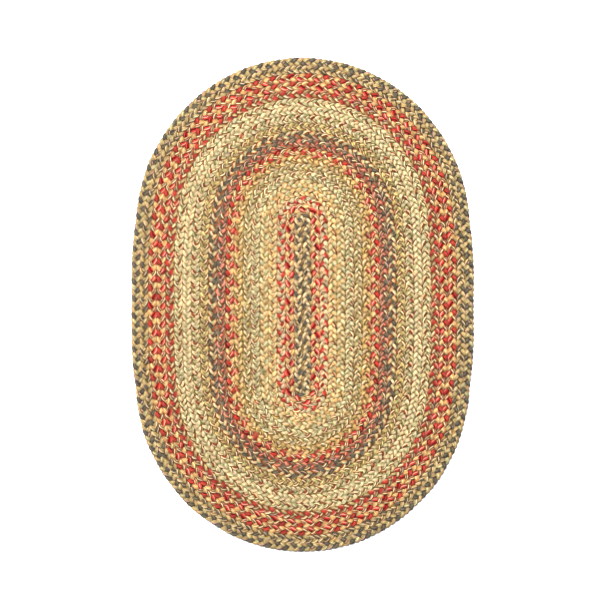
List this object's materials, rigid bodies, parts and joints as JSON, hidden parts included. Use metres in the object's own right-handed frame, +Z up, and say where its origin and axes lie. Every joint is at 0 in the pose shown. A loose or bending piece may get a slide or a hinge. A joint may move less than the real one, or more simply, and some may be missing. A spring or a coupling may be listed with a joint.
{
  "type": "braided oval rug",
  "caption": "Flat oval rug of nested rows of braid sewn edge to edge, ribbed on top and flat underneath.",
  "frame": {"origin": "middle of the flat underside, at the bottom centre of the bounding box", "axes": "+Y along the long axis of the oval, +X across it, +Z up from the floor"},
  "size_m": [0.5186, 0.748, 0.008],
  "materials": {
    "braided_jute": "matt dyed jute yarn in flat braids"
  },
  "bodies": {
    "root": {"rug": "braided_jute"}
  },
  "joints": []
}
